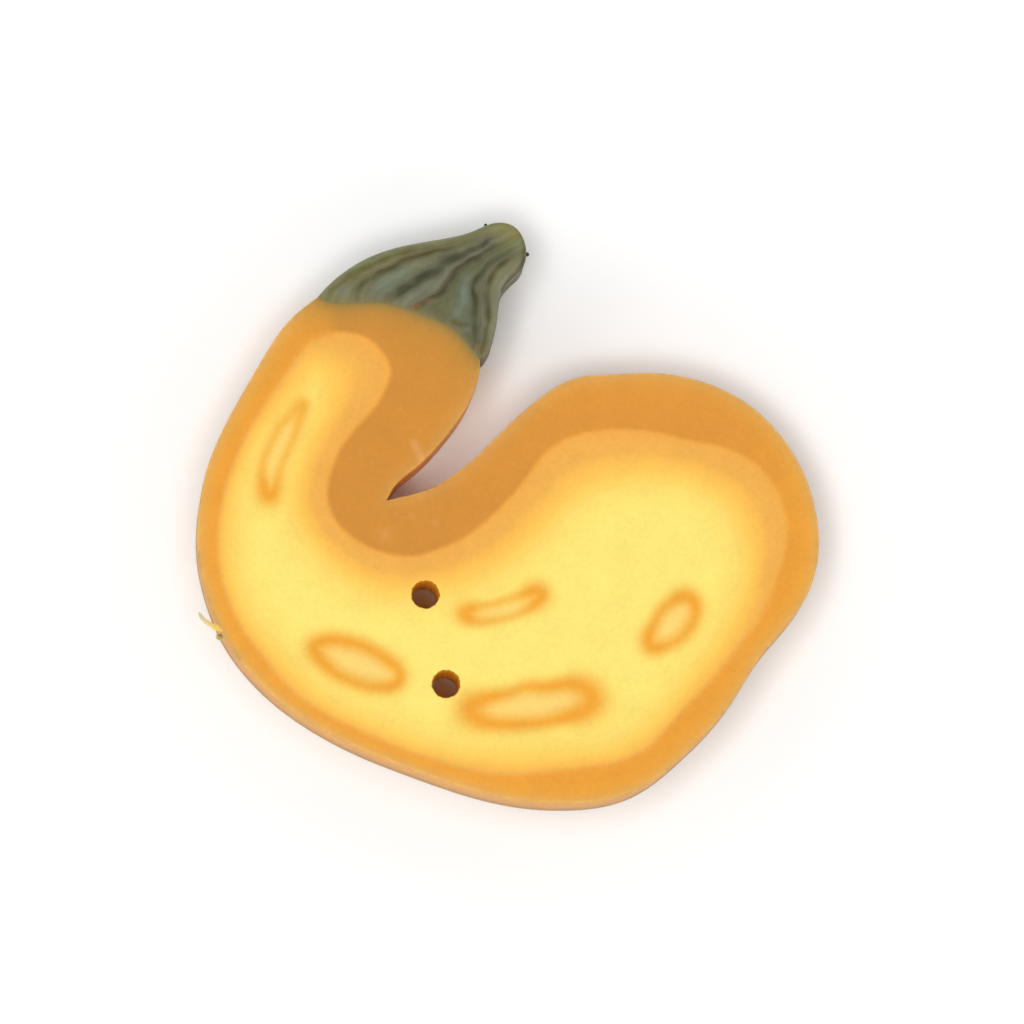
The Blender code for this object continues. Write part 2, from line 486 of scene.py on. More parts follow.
def hang_readings(piece, readings):
    """Stores one number per vertex on the mesh under each name, for the finish to read."""
    for name, values in readings.items():
        layer = piece.data.attributes.new(name, "FLOAT", "POINT")
        layer.data.foreach_set("value", np.asarray(values, np.float32))
    print(f"readings on {piece.name}:", ", ".join(readings))


# %% [markdown]
# ## The two slices
#
# The body is walked clockwise: along the seam, down the inside of the neck, round the bulb
# and up the back of the neck. The stem shares the seam's points exactly, so the two clays
# meet without a crack, as they do on the real button.

# %% Build the body and the stem
BODY_SPACING = 0.120
STEM_SPACING = 0.048

body_outline = np.concatenate([seam[:-1], body_rim[:-1]])
stem_outline = np.concatenate([stem_edge[:-1], seam[::-1][:-1]])
hole_loops = [sewing_hole(centre) for centre in HOLE_CENTRES]
notch = neck_inside[-1]

body, body_plan, body_of_plan, body_level = slice_of_clay(
    "squash_slice", body_outline, body_rim, [notch], BODY_SPACING, hole_loops)
stem, stem_plan, stem_of_plan, stem_level = slice_of_clay(
    "stem_slice", stem_outline, stem_edge, [], STEM_SPACING)

# %% [markdown]
# ## The squash's picture: rind, flesh and heart
#
# Three curves carry the picture. The rim is the outline. The flesh line is where the dark
# rind ends. The heart line is where the yellow has nearly reached its full brightness. A
# point's place between the last two tells how ripe its colour is, and it is found from its
# two distances. That bends with the squash, as the layers of rolled clay did in the loaf.

# %% Where the rind turns into flesh
PATTERN_STEP = 0.16       # spacing of the readings along the picture's curves

# Each point: x, y and, at most of them, how crisp the step is and how bright the rind is
FLESH_LINE = [
    (-6.64, 7.58, 0.9, 0.05), (-5.84, 7.30), (-5.24, 6.71, 1.0, 0.00), (-4.92, 5.93, 1.0, 0.00),
    (-5.28, 4.89), (-6.05, 3.86, 1.0, 0.00), (-6.94, 2.80), (-7.43, 1.60, 1.0, 0.00),
    (-7.56, 0.51, 1.0, 0.00), (-7.14, -0.50, 1.0, 0.00), (-6.40, -1.15), (-5.45, -1.64, 1.0, 0.00),
    (-4.11, -1.85, 1.0, 0.00), (-2.81, -1.50, 1.0, 0.00), (-1.54, -0.87, 1.0, 0.05),
    (-0.40, 0.16, 1.0, 0.15), (0.60, 1.27, 1.0, 0.20), (1.55, 2.51, 1.0, 0.30),
    (2.78, 3.27, 1.0, 0.40), (4.28, 3.52, 1.0, 0.45), (5.96, 3.48, 1.0, 0.50),
    (7.62, 3.10, 1.0, 0.45), (9.19, 2.78, 1.0, 0.50), (10.61, 1.95, 1.0, 0.60),
    (11.56, 0.50, 1.0, 0.80), (11.76, -1.17, 1.0, 0.85), (11.39, -2.60, 1.0, 0.87),
    (10.75, -4.32, 0.4, 0.87), (9.65, -5.92, 0.0, 0.87), (8.38, -7.43), (7.06, -8.81, 0.0, 0.88),
    (5.79, -10.13, 0.0, 0.88), (3.88, -10.77, 0.0, 0.90), (1.98, -11.03, 0.0, 0.92),
    (-0.39, -11.19, 0.0, 1.00), (-2.55, -10.76), (-4.70, -10.03, 0.0, 1.00), (-6.89, -9.06),
    (-8.96, -7.83, 0.0, 1.00), (-10.44, -6.16), (-11.71, -4.19, 0.0, 1.00),
    (-12.30, -1.92, 0.0, 0.95), (-12.18, 0.14, 0.0, 0.95), (-11.62, 2.12, 0.0, 0.95),
    (-10.56, 4.23, 0.0, 0.88), (-9.29, 6.17, 0.0, 0.78), (-8.13, 7.41, 0.3, 0.75),
]
HEART_LINE = [
    (-8.10, 5.96), (-7.64, 5.00), (-8.29, 3.12), (-8.86, 1.62), (-8.99, 0.39),
    (-8.61, -0.71), (-7.31, -2.31), (-5.17, -3.37), (-3.70, -3.37), (-2.23, -3.12),
    (-0.21, -2.10), (1.40, -0.70), (2.95, 0.76), (4.62, 1.43), (5.63, 1.55),
    (7.14, 1.49), (8.27, 1.07), (9.20, 0.44), (9.74, -0.54), (10.08, -1.76),
    (9.99, -3.08), (9.53, -4.30), (8.69, -5.70), (7.31, -7.52), (6.47, -8.53),
    (5.50, -9.34), (4.37, -9.97), (3.02, -10.20), (1.34, -10.27), (-0.34, -10.31),
    (-1.81, -10.20), (-3.28, -9.88), (-5.08, -9.20), (-6.30, -8.70), (-7.71, -7.97),
    (-8.60, -7.20), (-9.55, -6.21), (-10.70, -4.85), (-11.16, -4.00), (-11.59, -2.65),
    (-11.72, -1.38), (-11.64, -0.11), (-11.43, 1.03), (-11.01, 2.13), (-10.33, 3.36),
    (-9.01, 4.98), (-8.58, 5.50),
]

flesh_places = [point[:2] for point in FLESH_LINE]
flesh_depth = depth_in(body_plan, smooth_curve(flesh_places, PATTERN_STEP, closed=True))
heart_depth = depth_in(body_plan, smooth_curve(HEART_LINE, PATTERN_STEP, closed=True))
print("deepest flesh:", round(flesh_depth.max(), 2), "mm, heart:", round(heart_depth.max(), 2), "mm")

# %% [markdown]
# The loaf was rolled from a blended sheet, so the border isn't the same all round. Along the
# inside of the crook and over the bulb the rind stops at a crisp step, with a flat peach band
# behind it. Along the back and the underside it melts into the yellow. The rind itself runs
# from a brownish amber in the neck to a bright orange along the underside. Most points of
# the flesh line hold both. They are the stations, and every point of the face borrows from
# the stations nearest to it.

# %% Crispness and tone round the squash
STATIONS = [point for point in FLESH_LINE if len(point) == 4]


def borrowed(points, stations):
    """Each station's values spread over the face.

    A station counts with one over the fourth power of its distance, and the shares are
    scaled so that they add up to one.
    """
    stations = np.array(stations)
    off = points[:, None, :] - stations[None, :, :2]
    weight = 1.0 / (np.sum(off**2, axis=2) + 0.05)**2
    weight /= weight.sum(axis=1, keepdims=True)
    return weight @ stations[:, 2:]


crispness, brightness = borrowed(body_plan, STATIONS).T
print(len(STATIONS), "stations, brightness from", round(brightness.min(), 2), "to",
      round(brightness.max(), 2))

# %% [markdown]
# Ripeness is one number from 0, where the flesh begins, to 1, full yellow. Between the flesh
# line and the heart line it climbs in two different ways: at once along the soft side, and
# after a flat stretch along the crisp side. Past the heart line it creeps up to the end.

# %% Ripeness of the flesh
CRISP_CLIMB = ([0.0, 0.10, 0.46, 0.58, 0.74, 0.94, 1.0], [0.14, 0.19, 0.26, 0.37, 0.49, 0.63, 0.68])
SOFT_CLIMB = ([0.0, 0.18, 0.35, 0.60, 0.82, 1.0], [0.06, 0.23, 0.36, 0.51, 0.61, 0.68])
HEART_CLIMB = ([0.0, 0.20, 0.45, 0.95, 1.60], [0.68, 0.76, 0.85, 0.95, 1.0])

to_heart = np.clip(-heart_depth, 0.0, None)
across_band = np.clip(flesh_depth, 0.0, None)
across_band = across_band / (across_band + to_heart + 1e-6)
ripeness = (
    crispness * np.interp(across_band, *CRISP_CLIMB)
    + (1.0 - crispness) * np.interp(across_band, *SOFT_CLIMB)
)
ripeness = np.where(heart_depth > 0.0, np.interp(heart_depth, *HEART_CLIMB), ripeness)
print("ripeness runs from", round(ripeness.min(), 2), "to", round(ripeness.max(), 2))

# %% [markdown]
# ## Seeds
#
# A seed is a thin rope of orange clay squashed flat inside the yellow, so on the slice it is
# a soft ring that isn't quite an ellipse. Each ring is a closed curve along the middle of the
# rope. The knife met the rope at a slant at both ends of a seed, where it is thickest. So
# every point of the curve also gives the rope's half width, and the spline smooths that too.

# %% Where the seeds lie
# Each point: x, y, and the rope's half width
SEEDS = {
    "neck": [
        (-8.66, 4.50, 0.31), (-9.02, 4.16, 0.26), (-9.52, 3.67, 0.22), (-9.86, 3.07, 0.21),
        (-10.16, 2.46, 0.22), (-10.33, 1.79, 0.25), (-10.28, 1.11, 0.36), (-10.05, 0.62, 0.45),
        (-9.83, 0.85, 0.34), (-9.67, 1.41, 0.27), (-9.47, 2.06, 0.21), (-9.20, 2.69, 0.21),
        (-8.94, 3.32, 0.23), (-8.76, 3.98, 0.28),
    ],
    "left": [
        (-8.11, -5.74, 0.42), (-7.50, -5.42, 0.37), (-6.80, -5.49, 0.35), (-6.14, -5.66, 0.34),
        (-5.54, -5.94, 0.33), (-5.02, -6.29, 0.35), (-4.56, -6.78, 0.34), (-4.66, -7.22, 0.36),
        (-5.32, -7.41, 0.33), (-6.01, -7.34, 0.32), (-6.66, -7.12, 0.32), (-7.27, -6.81, 0.33),
        (-7.79, -6.34, 0.37),
    ],
    "large": [
        (-1.60, -8.33, 0.64), (-1.18, -7.95, 0.48), (-0.51, -7.75, 0.35), (0.14, -7.60, 0.30),
        (0.80, -7.37, 0.31), (1.49, -7.37, 0.34), (2.16, -7.28, 0.36), (2.85, -7.27, 0.46),
        (3.40, -7.55, 0.58), (3.54, -7.95, 0.64), (3.28, -8.30, 0.58), (2.79, -8.55, 0.46),
        (2.13, -8.71, 0.35), (1.46, -8.86, 0.34), (0.78, -8.92, 0.34), (0.11, -8.96, 0.35),
        (-0.57, -8.93, 0.38), (-1.22, -8.75, 0.52),
    ],
    "middle": [
        (-1.80, -4.28, 0.43), (-1.32, -4.02, 0.29), (-0.70, -3.90, 0.22), (-0.05, -3.70, 0.22),
        (0.57, -3.50, 0.30), (1.12, -3.33, 0.40), (1.40, -3.45, 0.40), (1.10, -3.87, 0.35),
        (0.52, -4.25, 0.23), (-0.11, -4.47, 0.21), (-0.77, -4.60, 0.24), (-1.40, -4.58, 0.31),
    ],
    "right": [
        (7.44, -3.52, 0.39), (7.86, -3.86, 0.37), (7.82, -4.44, 0.32), (7.52, -5.00, 0.31),
        (7.04, -5.40, 0.30), (6.52, -5.63, 0.33), (6.05, -5.66, 0.40), (5.90, -5.30, 0.38),
        (6.11, -4.72, 0.32), (6.42, -4.17, 0.30), (6.90, -3.74, 0.33),
    ],
}


def ring_reading(points, ring):
    """Signed distance to the rope's middle, positive inside the ring, and the rope's half
    width where the point is nearest to it."""
    rope = smooth_curve(ring, PATTERN_STEP / 2.0, closed=True)
    distance, _, along = nearest(points, rope[:, :2])
    depth = np.where(inside(points, rope[:-1, :2]), distance, -distance)
    return depth, np.interp(along, walked_along(rope), rope[:, 2])


depths, widths = np.transpose([ring_reading(body_plan, ring) for ring in SEEDS.values()], (1, 0, 2))
closest = np.argmin(np.abs(depths), axis=0)[None]
seed_depth = np.take_along_axis(depths, closest, axis=0)[0]
seed_width = np.take_along_axis(widths, closest, axis=0)[0]
print(len(SEEDS), "seeds, the deepest", round(seed_depth.max(), 2), "mm inside its ring")

# %% [markdown]
# ## Small marks
#
# Handling leaves marks: a pale scrape near the notch, five faint spots on the rind, and a
# brown smudge along the left rim. They are soft round patches or soft lines. Deep in the
# notch the wall is painted a deeper orange, which is painted warm bounce light.

# %% Patches of wear on the body


def patches(points, spots):
    """Strength of soft round spots: each fades as a bell curve of its radius, and where
    spots overlap the stronger one counts. A spot is x, y, radius and strength."""
    x, y, radius, strength = np.array(spots).T
    off = (points[:, :1] - x)**2 + (points[:, 1:] - y)**2
    return np.max(strength * np.exp(-off / radius**2), axis=1)


SCRAPE = np.array([(-3.99, 2.93), (-3.80, 2.58), (-3.66, 2.30)])
PALE_SPOTS = [
    (-3.70, 0.82, 0.22, 0.45), (-3.05, -0.45, 0.18, 0.40), (-4.03, -0.16, 0.16, 0.35),
    (-5.19, -1.00, 0.30, 0.45), (-5.0, -0.75, 0.20, 0.35),
]
# Painted warm bounce light: soft patches where the walls deep in the notch are painted deeper orange
NOTCH_BOUNCE_PATCHES = [(-3.6, 1.6, 2.6, 1.0), (-1.4, 4.6, 2.2, 0.9)]
SMUDGE = np.array([
    (-13.02, -1.80), (-12.90, -2.75), (-12.68, -3.45), (-12.40, -4.25), (-12.05, -5.05),
    (-11.70, -5.65), (-11.25, -6.25),
])
scrape, smudge = (
    np.exp(-(nearest(body_plan, line)[0] / spread)**2)
    for line, spread in ((SCRAPE, 0.15), (SMUDGE, 0.10))
)
pale = np.maximum(scrape, patches(body_plan, PALE_SPOTS))
to_hole = np.min([nearest(body_plan, joined(loop))[0] for loop in hole_loops], axis=0)

face_readings = {
    "flesh_depth": flesh_depth,
    "ripeness": ripeness,
    "crispness": crispness,
    "rind_brightness": brightness,
    "seed_depth": seed_depth,
    "seed_width": seed_width,
    "to_rim": nearest(body_plan, body_rim)[0],
    "to_seam": nearest(body_plan, seam)[0],
    "to_hole": to_hole,
    "pale": pale,
    "smudge": smudge,
    # where the walls get painted warm bounce light
    "notch": patches(body_plan, NOTCH_BOUNCE_PATCHES),
}
on_body = {name: values[body_of_plan] for name, values in face_readings.items()}
hang_readings(body, on_body | {"level": body_level})

# %% [markdown]
# ## The stem's stripes
#
# The stem was cut from a stack of thin green, olive and brown sheets that had been pinched
# together at one end. Its stripes fan out over the seam and crowd together at the tip. Each
# dark stripe is a curve from the seam to the tip, with a half width and a strength that
# changes on the way. Counting the curves a point has passed, plus its share of the way to
# the next one, numbers the bands from 0 at the left edge to 7 at the right.

# %% Flow lines of the stem
STRIPES = [
    {"half_width": ([0.0, 1.0], [0.15, 0.12]),
     "strength": ([0.0, 0.2, 0.75, 1.0], [0.3, 0.95, 0.6, 0.1]), "points": [
        (-7.60, 8.90), (-7.48, 9.23), (-7.23, 9.53), (-6.64, 9.95), (-5.72, 10.46),
        (-5.34, 10.63), (-4.71, 10.88), (-4.00, 11.10), (-2.94, 11.22), (-2.10, 11.45),
        (-1.26, 11.79), (-0.67, 11.98)]},
    {"half_width": ([0.0, 1.0], [0.17, 0.13]),
     "strength": ([0.0, 0.15, 0.6, 0.8, 1.0], [0.4, 0.95, 0.9, 0.5, 0.15]), "points": [
        (-6.34, 8.77), (-6.36, 9.30), (-6.05, 9.70), (-5.50, 10.04), (-5.17, 10.21),
        (-4.62, 10.52), (-4.12, 10.76), (-3.57, 10.90), (-3.07, 11.06), (-2.23, 11.24),
        (-1.77, 11.42), (-1.30, 11.58), (-0.34, 11.94)]},
    {"half_width": ([0.0, 0.5, 0.7, 1.0], [0.26, 0.27, 0.17, 0.14]),
     "strength": ([0.0, 0.1, 0.5, 0.8, 1.0], [0.5, 1.0, 1.0, 0.9, 0.3]), "points": [
        (-5.00, 8.68), (-4.92, 9.06), (-4.71, 9.19), (-4.37, 9.44), (-4.03, 9.66),
        (-3.57, 9.91), (-3.15, 10.18), (-2.73, 10.50), (-2.35, 10.74), (-1.93, 10.88),
        (-1.64, 11.05), (-1.22, 11.24), (-0.84, 11.50), (-0.34, 11.79), (-0.04, 11.98)]},
    {"half_width": ([0.0, 0.3, 1.0], [0.13, 0.16, 0.12]),
     "strength": ([0.0, 0.2, 0.7, 0.85, 1.0], [0.7, 1.0, 1.0, 0.6, 0.2]), "points": [
        (-4.03, 8.50), (-3.72, 8.77), (-3.49, 8.90), (-3.24, 9.06), (-2.86, 9.25),
        (-2.65, 9.49), (-2.52, 9.70), (-2.35, 10.00), (-2.10, 10.29), (-1.64, 10.63),
        (-1.30, 10.80), (-0.84, 11.12), (-0.34, 11.39), (0.12, 11.65)]},
    {"half_width": ([0.0, 0.25, 0.5, 1.0], [0.14, 0.26, 0.17, 0.13]),
     "strength": ([0.0, 0.2, 0.35, 0.8, 1.0], [0.3, 0.8, 1.0, 0.8, 0.2]), "points": [
        (-1.47, 6.78), (-1.43, 7.29), (-1.41, 7.88), (-1.43, 8.35), (-1.41, 8.73),
        (-1.41, 9.11), (-1.46, 9.53), (-1.30, 9.87), (-1.05, 10.21), (-0.84, 10.46),
        (-0.55, 10.71), (-0.10, 10.95), (0.50, 11.40)]},
    {"half_width": ([0.0, 1.0], [0.14, 0.12]),
     "strength": ([0.0, 0.15, 0.8, 1.0], [0.5, 0.8, 0.95, 0.2]), "points": [
        (-1.20, 6.56), (-1.05, 7.00), (-0.95, 7.41), (-0.92, 7.75), (-0.82, 8.22),
        (-0.84, 8.60), (-0.88, 8.94), (-0.92, 9.40), (-0.80, 9.78), (-0.67, 10.04),
        (-0.42, 10.38), (0.00, 10.71), (0.50, 11.00)]},
]
print(len(STRIPES), "dark stripes")

# %% Bands and stripes at every point of the stem
STRIPE_STEP = 0.10
RUN_ON = 1.5              # each stripe's line runs straight on this far past both ends
WANDER = 0.015            # how far the stripes stray sideways from their smooth lines


def unevenness(points, wavelength, seed, waves=16):
    """Numbers around 0 with a spread of 1: sine waves of about this wavelength that run in
    random directions, added up."""
    chance = np.random.default_rng(seed)
    turn, phase = chance.uniform(0.0, 2.0 * np.pi, (2, waves))
    runs = np.array([np.cos(turn), np.sin(turn)]) * chance.uniform(0.6, 1.6, waves)
    swings = points @ runs * (2.0 * np.pi / wavelength) + phase
    return np.sin(swings).sum(axis=1) * np.sqrt(2.0 / waves)


def run_on(chain, length):
    """The chain with a straight bit added at each end, in the direction it has there."""
    head, tail = chain[0] - chain[1], chain[-1] - chain[-2]
    return np.concatenate([
        chain[:1] + length * head / np.hypot(*head),
        chain,
        chain[-1:] + length * tail / np.hypot(*tail),
    ])


tip = np.argmax(stem_edge @ np.array([0.6, 0.8]))
left_edge, right_edge = stem_edge[:tip + 1], stem_edge[tip:][::-1]
passed = np.zeros(len(stem_plan), int)
reach = [nearest(stem_plan, left_edge)[0]]
stripe = np.zeros(len(stem_plan))
astray = np.column_stack([unevenness(stem_plan, 0.8, 1), unevenness(stem_plan, 0.8, 2)])
smeared = stem_plan + WANDER * astray
thick_and_thin = 1.0 + 0.12 * unevenness(stem_plan, 1.1, 3)
for line in STRIPES:
    chain = smooth_curve(line["points"], STRIPE_STEP)
    far, side, walked = nearest(smeared, run_on(chain, RUN_ON))
    passed += side < 0.0
    reach.append(far)
    share = np.clip((walked - RUN_ON) / (STRIPE_STEP * (len(chain) - 1)), 0.0, 1.0)
    half_width = np.interp(share, *line["half_width"])
    dark = np.interp(share, *line["strength"]) * np.exp(-(far / half_width)**2)
    stripe = np.maximum(stripe, dark)
reach = np.array(reach + [nearest(smeared, right_edge)[0]])
row = np.arange(len(stem_plan))
before, after = reach[passed, row], reach[passed + 1, row]
band = passed + before / (before + after + 1e-6)
print("stem bands run from", round(band.min(), 2), "to", round(band.max(), 2))

# %% [markdown]
# Where the stack was trimmed at the seam, its right half was pushed sideways, so the stripes
# there end in small hooks. Dark strokes down the right edge and round the tip are painted
# shade, drawn like the hooks. Teal and rust patches come from scraps of other sheets.

# %% Hooks, painted edge shade, patches and readings of the stem
# Each hook or stroke of painted edge shade: its points, half width and strength
HOOKS_AND_EDGE_SHADE = [
    ([(-2.30, 8.04), (-1.95, 7.93), (-1.60, 7.95), (-1.38, 8.10)], 0.14, 0.7),
    ([(-1.75, 7.52), (-1.50, 7.30), (-1.30, 7.20)], 0.18, 0.6),
    # The last two are painted shade down the right edge and round the tip
    ([(0.66, 11.05), (0.60, 10.50), (0.30, 10.12), (0.01, 9.80), (-0.21, 9.42)], 0.10, 0.8),
    ([(-0.76, 12.20), (-0.13, 12.25), (0.42, 11.96), (0.75, 11.10)], 0.05, 0.7),
]
TEAL_PATCHES = [
    (-6.93, 9.36, 0.28, 0.5), (-5.21, 9.61, 0.40, 0.7), (-4.60, 9.98, 0.35, 0.5),
    (-1.85, 8.95, 0.32, 0.8), (-1.85, 9.35, 0.30, 0.9), (-2.12, 8.50, 0.25, 0.6),
    (-1.75, 9.85, 0.22, 0.6), (-0.88, 11.50, 0.14, 0.9), (0.38, 11.40, 0.20, 0.6),
    (-1.70, 7.70, 0.22, 0.5),
]
RUST_PATCHES = [
    (-4.00, 8.60, 0.14, 1.0), (-3.78, 8.76, 0.13, 0.8), (-1.22, 6.98, 0.18, 0.5),
    (-1.02, 6.80, 0.14, 0.4), (0.20, 11.75, 0.18, 0.5), (-3.40, 8.95, 0.14, 0.35),
]
hooks_and_edge_shade = np.max([
    strength * np.exp(-(nearest(stem_plan, smooth_curve(points, STRIPE_STEP))[0] / width)**2)
    for points, width, strength in HOOKS_AND_EDGE_SHADE
], axis=0)
face_readings = {
    "band": band,
    # The dark stripes, with the hooks and the painted edge shade
    "stripe": np.clip(np.maximum(stripe, hooks_and_edge_shade) * thick_and_thin, 0.0, 1.0),
    "teal": patches(stem_plan, TEAL_PATCHES),
    "rust": patches(stem_plan, RUST_PATCHES),
    "to_rim": nearest(stem_plan, stem_edge)[0],
    "to_seam": nearest(stem_plan, seam)[0],
    "to_tip": np.hypot(*(stem_plan - stem_edge[tip]).T),
}
on_stem = {name: values[stem_of_plan] for name, values in face_readings.items()}
hang_readings(stem, on_stem | {"level": stem_level})

# %% [markdown]
# ## Colours
#
# Each colour is written as it looks on the lit face, in red, green and blue from 0 to 255.
# The finish needs the pigment behind it, so the light that falls on the face and the thin
# white sheen that lies over everything are taken off again.

# %% From looks to pigment
FACE_LIGHT = 1.17         # how bright a perfectly white face would be
SHEEN = 0.027             # what the gloss adds on top of every colour


def pigment(red, green, blue):
    """Pigment that looks like this colour on the lit face.

    The screen value is straightened out by its power curve, the sheen is taken away and the
    rest is divided by the light.
    """
    screen = np.array([red, green, blue]) / 255.0
    straight = np.where(screen <= 0.04045, screen / 12.92, ((screen + 0.055) / 1.055)**2.4)
    straight = np.clip((straight - SHEEN) / FACE_LIGHT, 0.002, 0.95)
    return (*straight.tolist(), 1.0)


print("what looks bright orange has the pigment", [round(part, 2) for part in pigment(241, 164, 63)[:3]])

# %% [markdown]
# ## Small helpers for the finishes
#
# A finish is a tree of nodes. Each helper adds the nodes of one step and hands back what comes
# out of it, so that the steps of a finish read from top to bottom.

# %% Helpers that add nodes


def feed(tree, made, inputs):
    """Links an output to each of these inputs of a node, or sets the input's own value."""
    for key, what in inputs.items():
        if isinstance(what, bpy.types.NodeSocket):
            tree.links.new(what, made.inputs[key])
        else:
            made.inputs[key].default_value = what


def node(tree, kind, *first_inputs, **choices):
    """A new node of this kind with its choices set and its first inputs fed in order."""
    made = tree.nodes.new(kind)
    for name, value in choices.items():
        setattr(made, name, value)
    feed(tree, made, dict(enumerate(first_inputs)))
    return made


def reading(tree, name):
    """The number that each point of the mesh holds under this name."""
    return node(tree, "ShaderNodeAttribute", attribute_name=name).outputs["Fac"]


def work_out(tree, operation, *values, held=False):
    """One step of arithmetic, held between 0 and 1 if asked."""
    return node(tree, "ShaderNodeMath", *values, operation=operation, use_clamp=held).outputs[0]


def times(tree, *factors):
    """The product of all the factors."""
    made = factors[0]
    for factor in factors[1:]:
        made = work_out(tree, "MULTIPLY", made, factor)
    return made


def rise(tree, value, start, end):
    """0 below start, 1 above end and an S-shaped slope between them."""
    made = node(tree, "ShaderNodeMapRange", value, start, end, interpolation_type="SMOOTHSTEP")
    return made.outputs[0]


def fade(tree, distance, length):
    """1 at no distance, then falling by a factor of e with every length."""
    return work_out(tree, "EXPONENT", work_out(tree, "DIVIDE", distance, -length))


def blend(tree, share, first, second, mode="MIX"):
    """The first colour, turning into the second as the share goes from 0 to 1."""
    made = node(tree, "ShaderNodeMix", share, data_type="RGBA", blend_type=mode)
    feed(tree, made, {6: first, 7: second})
    return made.outputs[2]


def over(tree, colour, on_top, most, share):
    """The colour with another one laid on top: this much of it where the share is 1."""
    return blend(tree, times(tree, share, most), colour, on_top)


def colour_scale(tree, value, stops, reach=1.0):
    """Pigment looked up on a scale. Each stop is a place, out of reach, and how it looks."""
    made = node(tree, "ShaderNodeValToRGB", value)
    elements = made.color_ramp.elements
    while len(elements) < len(stops):
        elements.new(1.0)
    for element, (place, *looks) in zip(elements, stops):
        element.position = place / reach
        element.color = pigment(*looks)
    return made.outputs[0]


# %% [markdown]
# ## Grain of baked clay
#
# Both clays share one surface: a faint mottling from kneading, a fine grain from the filler
# in the clay, and a few pale specks of lint and dust that every scanner finds. That is one
# node group, placed in each finish with its own amounts. It reads the place on the object in
# millimetres, and gives out numbers only.

# %% The shared node group


def make_clay_grain():
    """Node group: mottle (about 0 on average), specks (0 or 1, softly) and a grain height."""
    group = bpy.data.node_groups.new("clay grain", "ShaderNodeTree")
    for name, kind in (("Place", "NodeSocketVector"), ("Speck share", "NodeSocketFloat")):
        group.interface.new_socket(name, in_out="INPUT", socket_type=kind)
    for name in ("Mottle", "Specks", "Height"):
        group.interface.new_socket(name, in_out="OUTPUT", socket_type="NodeSocketFloat")
    start, end = node(group, "NodeGroupInput"), node(group, "NodeGroupOutput")
    to_mm = node(group, "ShaderNodeVectorMath", start.outputs["Place"], operation="SCALE")
    feed(group, to_mm, {"Scale": 1.0 / MM})

    def noise(scale, detail, rough=0.5):
        made = node(group, "ShaderNodeTexNoise", to_mm.outputs[0])
        feed(group, made, {"Scale": scale, "Detail": detail, "Roughness": rough})
        return made.outputs["Fac"]

    broad = work_out(group, "SUBTRACT", noise(0.9, 2.0), 0.5)
    grain = work_out(group, "SUBTRACT", noise(5.5, 3.0, 0.6), 0.5)
    limit = work_out(group, "SUBTRACT", 0.80, start.outputs["Speck share"])
    feed(group, end, {
        "Mottle": work_out(group, "MULTIPLY_ADD", broad, 0.8, grain),
        "Specks": rise(group, noise(6.5, 1.0), limit, work_out(group, "ADD", limit, 0.05)),
        "Height": work_out(group, "MULTIPLY_ADD", noise(16.0, 3.0), 0.35, grain),
    })
    return group


clay_grain = make_clay_grain()
print("clay grain uses", len(clay_grain.nodes), "nodes")

# %% The shared finish
SPECK_SHARE = 0.06        # how readily a speck shows
GLOSS = 0.25              # strength of the mirror-like part, half of bare plastic's
ROUGHNESS_SWING = 0.12    # how much the mottling roughens and smooths the surface
GLOW_DEPTH = 0.40         # mm that light wanders inside the clay
RELIEF_STRENGTH = 0.35


def grain_of(tree, speck_share):
    """Places the clay grain in a finish and feeds it the place on the object."""
    place = node(tree, "ShaderNodeTexCoord").outputs["Object"]
    return node(tree, "ShaderNodeGroup", place, speck_share, node_tree=clay_grain).outputs


def new_finish(name):
    """A new material, its tree of nodes and the shader that it starts with."""
    material = bpy.data.materials.new(name)
    material.use_nodes = True
    return material, material.node_tree, material.node_tree.nodes["Principled BSDF"]


def clay_finish(name, paint, grain_height, roughness, translucence):
    """A baked clay finish. The paint function builds the colour from the tree and grain."""
    material, tree, shader = new_finish(name)
    grain = grain_of(tree, SPECK_SHARE)
    relief = node(tree, "ShaderNodeBump")
    feed(tree, relief, {
        "Strength": RELIEF_STRENGTH, "Distance": grain_height * MM, "Height": grain["Height"],
    })
    feed(tree, shader, {
        "Base Color": paint(tree, grain),
        "Roughness": work_out(tree, "MULTIPLY_ADD", grain["Mottle"], ROUGHNESS_SWING, roughness),
        "Specular IOR Level": GLOSS,
        "Subsurface Weight": translucence,
        "Subsurface Radius": (1.0, 0.6, 0.25),
        "Subsurface Scale": GLOW_DEPTH * MM,
        "Normal": relief.outputs[0],
    })
    return material


# %% [markdown]
# ## Amber clay: the squash
#
# The flesh's colour comes from its ripeness on one scale, from orange over peach to yellow.
# The rind's colour comes from its brightness, with a yellow glow and then a tan border close
# to the rim, and it turns olive towards the seam, where the stem's green has bled into it. The
# two are joined at the flesh line. The seeds lie on top. The walls get painted shade at the
# foot, a painted highlight along the fold and painted warm bounce light deep in the notch.

# %% Amber clay finish
FLESH_SCALE = [
    (0.00, 241, 164, 63), (0.10, 243, 168, 72), (0.20, 241, 177, 85),
    (0.31, 245, 183, 88), (0.40, 251, 190, 88), (0.51, 253, 198, 92),
    (0.68, 254, 210, 100), (0.80, 253, 216, 109), (0.86, 254, 221, 116),
    (0.95, 253, 227, 119), (1.00, 254, 232, 125),
]
RIND_SCALE = [
    (0.00, 213, 146, 66), (0.50, 225, 153, 66),
    (0.85, 234, 160, 65), (1.00, 241, 164, 63),
]
RIM_GLOW = pigment(242, 176, 64)
RIM_TAN = pigment(211, 174, 116)
SEAM_OLIVE = pigment(176, 137, 68)
SEAM_GREEN = pigment(128, 122, 82)
SEED_RING = pigment(244, 170, 62)
SEED_INSIDE = pigment(254, 216, 124)
WALL_PALE = pigment(213, 149, 66)
# Painted highlight along the fold at the top of the wall
FOLD_HIGHLIGHT = pigment(234, 176, 88)
